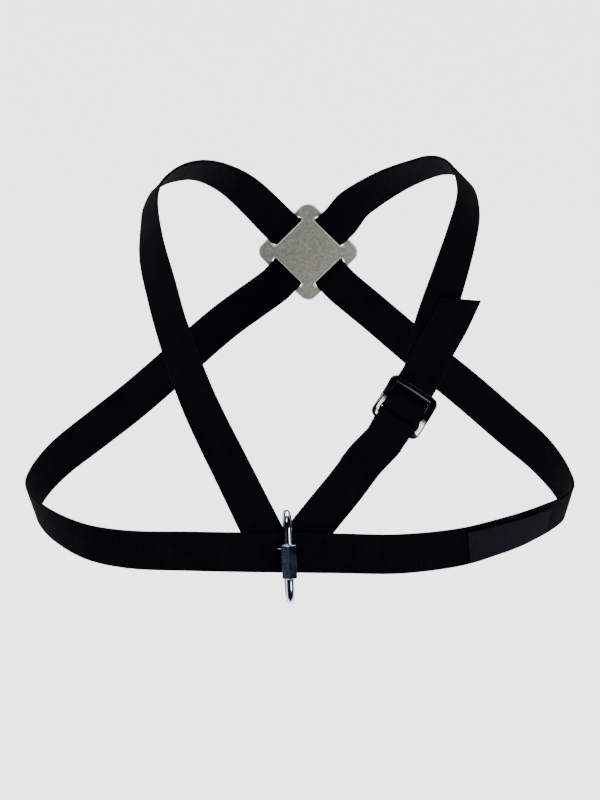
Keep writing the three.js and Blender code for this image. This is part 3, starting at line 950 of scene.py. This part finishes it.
@dataclass
class BackPlate:
    """Square plate set cornerwise, with a slot along each side of its land."""

    half_side: float = 25.3 * MM
    thickness: float = 2.0 * MM
    corner: float = 7.0 * MM
    corner_steps: int = 10
    land: float = 18.2 * MM
    slot_width: float = 3.6 * MM
    slot_length: float = 26.0 * MM
    slot_corner: float = 1.4 * MM
    slot_steps: int = 4
    edge: float = 0.8 * MM
    edge_steps: int = 2
    # Range of the normal's rise within which a face belongs to a rounded edge.
    edge_rises: tuple[float, float] = (0.1, 0.985)
    crease: float = 35.0
    centre: Triple = (0.0, 65.0 * MM, -62.784 * MM)
    tilt: float = 6.0

    def _loop(self, half: tuple[float, float], centre: tuple[float, float], radius: float,
              steps: int, clockwise: bool) -> list[tuple[float, float]]:
        """Works out one rounded rectangle.

        Args:
            half: Half its width and half its length.
            centre: Its middle.
            radius: Radius of its corners.
            steps: Steps in each corner.
            clockwise: Whether it runs the way of a hole.

        Returns:
            Its points in order.
        """
        points = []
        for quarter, (x, y) in enumerate(((1, 1), (-1, 1), (-1, -1), (1, -1))):
            for step in range(steps + 1):
                angle = math.pi / 2 * (quarter + step / steps)
                points.append((centre[0] + x * (half[0] - radius) + radius * math.cos(angle),
                               centre[1] + y * (half[1] - radius) + radius * math.sin(angle)))
        return points[::-1] if clockwise else points

    def placing(self) -> Matrix:
        """Works out how the plate is turned and moved from flat at the origin.

        Returns:
            The matrix that takes it to its worn place.
        """
        turn = math.radians(self.tilt)
        out = Vector((0.0, math.cos(turn), math.sin(turn)))
        up = Vector((0.0, -math.sin(turn), math.cos(turn)))
        right = (Vector((1.0, 0.0, 0.0)) + up).normalized()
        left = (Vector((-1.0, 0.0, 0.0)) + up).normalized()
        basis = Matrix((right, left, -out)).transposed().to_4x4()
        return Matrix.Translation(Vector(self.centre)) @ basis

    def build(self) -> bpy.types.Object:
        """Fills the outline round its four slots and rounds all edges.

        Returns:
            The plate, with its rounded edges in a second material slot.
        """
        middle = self.land + self.slot_width / 2
        half_slot = (self.slot_width / 2, self.slot_length / 2)
        loops = [self._loop((self.half_side, self.half_side), (0.0, 0.0), self.corner,
                            self.corner_steps, False)]
        for x, y in ((1, 0), (-1, 0), (0, 1), (0, -1)):
            loops.append(self._loop(half_slot if x else half_slot[::-1], (x * middle, y * middle),
                                    self.slot_corner, self.slot_steps, True))
        outline = bpy.data.curves.new("slotted_plate", "CURVE")
        outline.dimensions = "2D"
        outline.fill_mode = "BOTH"
        outline.extrude = self.thickness / 2 - self.edge
        outline.bevel_depth = self.edge
        outline.bevel_resolution = self.edge_steps
        outline.offset = -self.edge
        for loop in loops:
            spline = outline.splines.new("POLY")
            spline.points.add(len(loop) - 1)
            for point, (x, y) in zip(spline.points, loop):
                point.co = (x, y, 0.0, 1.0)
            spline.use_cyclic_u = True
        make_active(new_object("slotted_plate", outline))
        bpy.ops.object.convert(target="MESH")
        plate = bpy.context.object
        clean_mesh(plate, merge=True)
        low, high = self.edge_rises
        # The rounded edges take the second slot, whose much lighter steel is a painted highlight.
        for face in plate.data.polygons:
            face.material_index = 1 if low < abs(face.normal.z) < high else 0
        plate.data.transform(self.placing())
        smooth(plate, self.crease)
        apply_modifier(plate, "WEIGHTED_NORMAL", {"keep_sharp": True})
        return plate


@dataclass
class SlideBuckle:
    """Three-bar slide, whose side rails bow a little towards the front."""

    centre: Triple = (68.31 * MM, -129.92 * MM, -132.11 * MM)
    # Its directions out from its face and up along the strap.
    out: Triple = (0.2913, -0.9527, 0.0872)
    along: Triple = (0.514, 0.233, 0.826)
    half_length: float = 14.45 * MM
    # The rails begin this far from the middle, and only what lies past the slack is bowed.
    rail: float = 13.0 * MM
    slack: float = 0.02 * MM
    bow: float = 1.4 * MM
    cuts: int = 13
    cut_reach: float = 9.0 * MM
    # The rail on the right is broader inwards, which fades to nothing across it.
    broader: float = 1.3 * MM
    broader_fade: float = 2.1 * MM
    broader_slack: float = 0.1 * MM
    # Stretch of a rail that carries the painted highlight, measured up from the middle, and how far it has
    # to face out.
    highlight_span: tuple[float, float] = (-12.0 * MM, -0.5 * MM)
    highlight_facing: float = 0.3
    crease: float = 40.0

    def axes(self) -> tuple[Vector, Vector, Vector, Vector]:
        """Works out how the buckle lies.

        Returns:
            Its middle, and its directions out, up along the strap and sideways.
        """
        out = Vector(self.out).normalized()
        along = Vector(self.along).normalized()
        return Vector(self.centre), out, along, along.cross(out)

    def _shape_rails(self, buckle: bpy.types.Object) -> None:
        """Bows both side rails and broadens the right one.

        Args:
            buckle: The buckle, with its doubles joined.
        """
        centre, out, along, sideways = self.axes()
        make_active(buckle)
        bpy.ops.object.mode_set(mode="EDIT")
        # The rails are cut into short lengths first, so that they bend evenly.
        for cut in np.linspace(-self.cut_reach, self.cut_reach, self.cuts):
            bpy.ops.mesh.select_all(action="SELECT")
            bpy.ops.mesh.bisect(plane_co=centre + along * float(cut), plane_no=along)
        bpy.ops.object.mode_set(mode="OBJECT")
        for vert in buckle.data.vertices:
            place = vert.co - centre
            across = place.dot(sideways)
            if abs(across) > self.rail + self.slack:
                share = min(1.0, abs(place.dot(along)) / self.half_length)
                vert.co += out * (self.bow * (1 - share * share))
            inward = 1 - abs(across - self.rail) / self.broader_fade
            if inward > 0 and across > self.rail - self.broader_slack:
                vert.co -= sideways * (self.broader * inward)

    def build(self, solid: bpy.types.Object, whole: BlackEnamel, highlight_finish: BlackEnamel) -> bpy.types.Object:
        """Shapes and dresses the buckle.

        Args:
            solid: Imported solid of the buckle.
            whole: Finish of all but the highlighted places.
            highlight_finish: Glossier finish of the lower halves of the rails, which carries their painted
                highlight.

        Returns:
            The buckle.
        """
        piece = merged_copy(solid, "slide_buckle")
        self._shape_rails(piece)
        smooth(piece, self.crease)
        dress(piece, whole.material(), highlight_finish.material())
        centre, out, along, sideways = self.axes()
        # Faces on the rails' lower halves get the glossier enamel, which carries a painted highlight.
        low, high = self.highlight_span
        for face in piece.data.polygons:
            place = face.center - centre
            on_rail = abs(place.dot(sideways)) > self.rail
            if on_rail and low < place.dot(along) < high and face.normal.dot(out) > self.highlight_facing:
                face.material_index = 1
        return piece


@dataclass
class QuickLink:
    """Ring of bent rod with a gap in its front bar, and the sleeve nut that closes it."""

    # The rod is drawn a little under its 5 mm.
    rod: float = 4.975 * MM
    rod_end: float = 0.5 * MM
    rod_end_angle: float = 60.0
    span: float = 15.043 * MM
    straight: float = 18.98 * MM
    gap_bottom: float = -10.08 * MM
    gap_top: float = -4.08 * MM
    origin: Triple = (0.0, -161.496 * MM, -220.4 * MM)
    lean: float = -2.1
    yaw: float = 8.0
    sides: int = 28
    bend_steps: int = 18
    crease: float = 40.0
    nut_sides: int = 6
    nut_chamfer: float = 1.6 * MM
    nut_bore: float = 4.0 * MM
    nut_edge: float = 0.3 * MM
    nut_slack: float = 0.02 * MM
    nut_crease: float = 25.0
    # A side face's normal rises less than this, and a corner's looks this far from any flat's, or more.
    side_rise: float = 0.3
    corner_turn: float = 12.0

    def placing(self) -> Matrix:
        """Works out how the link is turned and moved from upright at the origin.

        Returns:
            The matrix that takes it to its worn place.
        """
        lean = Matrix.Rotation(math.radians(self.lean), 4, "Y")
        yaw = Matrix.Rotation(math.radians(self.yaw), 4, "Z")
        return Matrix.Translation(Vector(self.origin)) @ (lean @ yaw)

    def ring(self) -> bpy.types.Object:
        """Extrudes the rod up, spins it round both bends and brings it back to the gap.

        Returns:
            The bent rod.
        """
        deselect()
        bpy.ops.mesh.primitive_circle_add(
            vertices=self.sides, radius=self.rod / 2, fill_type="NGON", location=(0.0, 0.0, self.gap_top))
        piece = bpy.context.object
        piece.name = "bent_rod"
        bpy.ops.object.transform_apply(location=True, rotation=True, scale=True)
        bpy.ops.object.mode_set(mode="EDIT")
        bpy.ops.mesh.select_all(action="SELECT")
        self._extrude(self.straight - self.gap_top)
        self._bend(self.straight)
        self._extrude(-2 * self.straight)
        self._bend(-self.straight)
        self._extrude(self.gap_bottom + self.straight)
        clean_mesh(piece, merge=True)
        apply_modifier(piece, "BEVEL", {
            "width": self.rod_end, "segments": 2, "limit_method": "ANGLE",
            "angle_limit": math.radians(self.rod_end_angle)})
        piece.data.transform(self.placing())
        smooth(piece, self.crease)
        return piece

    @staticmethod
    def _extrude(height: float) -> None:
        """Extrudes the selected end straight up, or down where the height is below nought."""
        bpy.ops.mesh.extrude_region_move(TRANSFORM_OT_translate={"value": (0.0, 0.0, height)})

    def _bend(self, height: float) -> None:
        """Spins the selected end half a turn about the bend at a height."""
        bpy.ops.mesh.spin(
            steps=self.bend_steps, angle=math.pi,
            center=(0.0, self.span / 2, height), axis=(1.0, 0.0, 0.0))

    def _mark_end_edges(self, nut: bpy.types.Object) -> None:
        """Marks the outer edges of the nut's two ends for the wide chamfer.

        Args:
            nut: The nut, in its worn place.
        """
        upright = self.placing().inverted()
        shape = bmesh.new()
        shape.from_mesh(nut.data)
        weight = shape.edges.layers.float.new("bevel_weight_edge")
        levels = {vert: upright @ vert.co for vert in shape.verts}
        top = max(place.z for place in levels.values())
        bottom = min(place.z for place in levels.values())
        for edge in shape.edges:
            ends = [levels[vert] for vert in edge.verts]
            at_end = any(all(abs(end.z - level) < self.nut_slack for end in ends) for level in (top, bottom))
            if at_end and all(end.xy.length > self.nut_bore for end in ends):
                edge[weight] = 1.0
        shape.to_mesh(nut.data)
        shape.free()

    def _mark_corners(self, nut: bpy.types.Object) -> None:
        """Gives the rounded corners the nut's second material, a much lighter plate that paints a highlight
        streak.

        Args:
            nut: The nut, with both materials.
        """
        # The flats look 30, 90, 150 ... degrees away from the front, and the corners between.
        turn = 360 / self.nut_sides
        for face in nut.data.polygons:
            azimuth = math.degrees(math.atan2(face.normal.x, -face.normal.y))
            if abs(face.normal.z) < self.side_rise and abs(azimuth % turn - turn / 2) > self.corner_turn:
                face.material_index = 1

    def nut(self, solid: bpy.types.Object, flats: PlatedSteel, corners: PlatedSteel) -> bpy.types.Object:
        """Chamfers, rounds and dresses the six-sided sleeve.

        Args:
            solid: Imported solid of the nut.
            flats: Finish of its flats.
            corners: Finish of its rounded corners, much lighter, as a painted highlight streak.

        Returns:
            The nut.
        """
        piece = merged_copy(solid, "sleeve_nut")
        dress(piece, flats.material(), corners.material())
        self._mark_end_edges(piece)
        apply_modifier(piece, "BEVEL", {
            "width": self.nut_chamfer, "segments": 1, "limit_method": "WEIGHT"})
        apply_modifier(piece, "BEVEL", {
            "width": self.nut_edge, "segments": 2, "limit_method": "ANGLE",
            "angle_limit": math.radians(self.nut_crease)})
        self._mark_corners(piece)
        smooth(piece, self.nut_crease)
        apply_modifier(piece, "WEIGHTED_NORMAL", {"keep_sharp": True})
        return piece


# Studio


@dataclass(frozen=True)
class SoftLight:
    """One flat light, with its places and sizes in metres and its power in watts."""

    name: str
    place: Triple
    aim: Triple
    power: float
    width: float
    height: float

    def hang(self) -> None:
        """Hangs the light and turns it to its aim."""
        data = bpy.data.lights.new(self.name, "AREA")
        data.shape = "RECTANGLE"
        data.size = self.width
        data.size_y = self.height
        data.energy = self.power
        light = new_object(self.name, data)
        light.location = self.place
        light.rotation_euler = (Vector(self.aim) - Vector(self.place)).to_track_quat("-Z", "Y").to_euler()


@dataclass
class Studio:
    """Pale floor, soft lights and the photograph's viewpoint."""

    eye: Triple = (108.3 * MM, -2106.5 * MM, 220.6 * MM)
    view: Triple = (-0.0515, 0.9835, -0.1736)
    lens: float = 148.5
    sensor: float = 36.0
    sight: float = 100.0
    floor_drop: float = 0.7
    floor_size: float = 80.0
    floor_tone: float = 0.9
    # The flag's sides end in front of the harness's middle, and its foot just above the floor.
    flag_radius: float = 1.6
    flag_front: float = -0.1
    flag_bottom: float = -0.66
    flag_colour: str = "#0a0c14"
    sun_power: float = 9.0
    sun_spread: float = 50.0
    sun_tilt: tuple[float, float] = (-12.0, -8.0)
    lamps: tuple[SoftLight, ...] = (
        SoftLight("key", (-0.7, -0.95, 0.85), (0.0, 0.0, -0.12), power=12.0, width=0.5, height=0.5),
        SoftLight("low panel", (0.63, -1.16, -0.41), (0.03, -0.15, -0.15),
                  power=9.0, width=0.3, height=0.38),
        SoftLight("left card", (-1.05, -0.72, -0.43), (0.0, -0.16, -0.22),
                  power=0.09, width=0.45, height=0.45),
    )

    def camera(self) -> None:
        """Sets the camera where the photograph was taken from."""
        data = bpy.data.cameras.new("viewpoint")
        data.lens = self.lens
        data.sensor_width = self.sensor
        data.clip_end = self.sight
        camera = new_object("viewpoint", data)
        camera.location = self.eye
        camera.rotation_euler = Vector(self.view).to_track_quat("-Z", "Y").to_euler()
        bpy.context.scene.camera = camera

    def floor(self) -> None:
        """Lays the pale floor well below the worn harness."""
        deselect()
        bpy.ops.mesh.primitive_plane_add(size=self.floor_size, location=(0.0, 0.0, -self.floor_drop))
        floor = bpy.context.object
        floor.name = "floor"
        material, tree = new_material("matt white paper")
        finish_material(tree, {"Base Color": (*[self.floor_tone] * 3, 1.0), "Roughness": 0.9})
        dress(floor, material)

    def flag(self) -> None:
        """Stands a dark half shell round the front, which only mirror-like pieces can see."""
        deselect()
        bpy.ops.mesh.primitive_uv_sphere_add(segments=32, ring_count=16, radius=self.flag_radius)
        flag = bpy.context.object
        flag.name = "flag"
        shell = bmesh.new()
        shell.from_mesh(flag.data)
        behind = [face for face in shell.faces if face.calc_center_median().y > self.flag_front]
        bmesh.ops.delete(shell, geom=behind, context="FACES")
        for vert in shell.verts:
            vert.co.z = max(vert.co.z, self.flag_bottom)
        shell.to_mesh(flag.data)
        shell.free()
        material, tree = new_material("matt black cloth")
        finish_material(tree, {
            "Base Color": linear(self.flag_colour), "Roughness": 1.0, "Specular IOR Level": 0.0})
        dress(flag, material)
        flag.visible_camera = False
        flag.visible_diffuse = False
        flag.visible_shadow = False

    def lights(self) -> None:
        """Hangs the soft lights and an even white sky."""
        overhead = bpy.data.lights.new("overhead", "SUN")
        overhead.energy = self.sun_power
        overhead.angle = math.radians(self.sun_spread)
        above = new_object("overhead", overhead)
        above.rotation_euler = (*(math.radians(tilt) for tilt in self.sun_tilt), 0.0)
        for lamp in self.lamps:
            lamp.hang()
        world = bpy.data.worlds.new("white sky")
        bpy.context.scene.world = world
        world.use_nodes = True
        tree = world.node_tree
        tree.nodes.clear()
        sky = add_node(tree, "Background", inputs={"Color": linear("#ffffff"), "Strength": 1.0})
        output = add_node(tree, "OutputWorld")
        tree.links.new(sky.outputs["Background"], output.inputs["Surface"])


# Harness


@dataclass
class ChestHarness:
    """The whole harness: webbing, label, stitching, plate, buckle and link."""

    nodes: dict[str, bpy.types.Object]
    routes: dict[str, StrapRoute] = field(default_factory=dict)
    slide: SlideBuckle = field(default_factory=SlideBuckle)
    # Points near the ends that the straps and the label are walked from, in metres.
    front_centre: Triple = (0.0, -0.155, -0.218)
    buckle_end: Triple = (0.07, -0.14, -0.15)
    label_end: Triple = (0.11, -0.147, -0.21)
    label_faces: Triple = (0.3, -1.0, 0.0)
    # Run of the fold at the buckle, the length over which it is raised, and by how much.
    fold_run: float = 42.0 * MM
    fold_reach: float = 8.0 * MM
    fold_rise: float = 0.9 * MM
    # Strap of each box of stitches, and the runs between which it is sewn.
    boxes: tuple[tuple[str, float, float], ...] = (
        ("buckle_strap", 62.0 * MM, 84.0 * MM),
        ("buckle_strap", 4.0 * MM, 26.0 * MM),
        ("adjusting_strap", 8.0 * MM, 22.0 * MM),
        ("fixed_strap", 8.0 * MM, 22.0 * MM),
    )
    # Path of the loose thread end beside the nut, in millimetres.
    loose_end: tuple[Triple, ...] = (
        (-7.3, -156.2, -215.3), (-6.5, -156.7, -215.1), (-5.6, -156.8, -215.2), (-4.8, -156.4, -215.1),
    )

    def straps(self) -> None:
        """Weaves the three lengths of webbing."""
        weave = WovenPolyester().material()
        front = Vector(self.front_centre)
        ahead = Vector((0.0, -1.0, 0.0))
        for name, node, start, outer in (
            ("webbing_adjusting", "adjusting_strap", front, ahead),
            ("webbing_fixed", "fixed_strap", front, ahead),
            ("webbing_buckle", "buckle_strap", Vector(self.buckle_end), -ahead),
        ):
            route = StrapRoute(self.nodes[node], start, outer)
            self.routes[node] = route
            if node == "buckle_strap":
                # The fold presses up against the webbing that goes down through the same window.
                shift = tuple(self.fold_rise * part for part in self.slide.along)
                route.nudge(self.fold_run, self.fold_reach, shift)
            piece = WovenStrap(name, route).build()
            dress(piece, weave)
            settle(piece, Body.HARNESS, Slot.WEBBING, node)
            LOG.info("%s is %.0f mm long", name, route.length / MM)

    def label(self) -> None:
        """Lays the bare label on the band."""
        route = StrapRoute(self.nodes["label"], Vector(self.label_end), Vector(self.label_faces))
        self.routes["label"] = route
        piece = LabelPatch(route).build()
        dress(piece, LabelCloth().material())
        settle(piece, Body.HARNESS, Slot.LABEL, "label")

    def stitching(self) -> None:
        """Sews the fold at the buckle and the joint at the front centre, and leaves an end loose."""
        paths = []
        for node, first, last in self.boxes:
            sewing = Stitching(self.routes[node])
            paths += sewing.box(first, last)
        piece = sewing.mesh("sewing_thread", paths)
        dress(piece, SewingThread("black bonded thread", "#020204").material())
        settle(piece, Body.HARNESS, Slot.WEBBING)
        loose = sewing.mesh("loose_thread_end", [np.array(self.loose_end) * MM])
        # The loose end's pale colour is a painted glint.
        dress(loose, SewingThread("loose thread end with a painted glint", "#8f9094").material())
        settle(loose, Body.HARNESS, Slot.WEBBING)

    def metal(self) -> None:
        """Makes and dresses the plate, the buckle, the link and its nut."""
        steel = TumbledSteel("tumbled stainless steel", "#7b7c71", "#6c6b5e", "#868980")
        # The rounded edges get a much lighter steel, a painted highlight where they catch the light.
        edge_highlight = TumbledSteel("steel edge lightened as a painted highlight", "#c2c1b8", "#b4b3a8", "#c6c7c1")
        plate = BackPlate().build()
        # Added to what is bare, because clearing it first would forget which faces are edges.
        plate.data.materials.append(steel.material())
        plate.data.materials.append(edge_highlight.material())
        settle(plate, Body.HARNESS, Slot.PLATE, "back_plate")
        # The rails' lower halves get a far glossier enamel, which carries a painted highlight.
        buckle = self.slide.build(
            self.nodes["buckle"], BlackEnamel("stoved black enamel", gloss=0.08),
            BlackEnamel("enamel glossed for a painted highlight", gloss=1.0))
        settle(buckle, Body.HARNESS, Slot.BUCKLE, "buckle")
        link = QuickLink()
        ring = link.ring()
        plated = PlatedSteel("bright zinc plate on rod", "#9199ab", haze=0.12, pitting=0.1)
        dress(ring, plated.material())
        settle(ring, Body.HARNESS, Slot.LINK, "quick_link")
        # The nut's corners get a much lighter plate, which paints a highlight streak on them.
        nut = link.nut(
            self.nodes["link_nut"],
            PlatedSteel("bright zinc plate on nut", "#8c9abb", haze=0.13, pitting=0.8),
            PlatedSteel("zinc plate on corners, lightened as a painted highlight", "#e2e6f0", haze=0.5, pitting=0.2))
        settle(nut, Body.NUT, Slot.LINK, "link_nut")


def main() -> None:
    """Builds the harness piece by piece."""
    logging.basicConfig(level=logging.INFO, format="%(name)s: %(message)s")
    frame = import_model()
    studio = Studio()
    studio.camera()
    studio.floor()
    studio.flag()
    studio.lights()
    harness = ChestHarness(frame["nodes"])
    harness.straps()
    harness.label()
    harness.stitching()
    harness.metal()


if __name__ == "__main__":
    main()
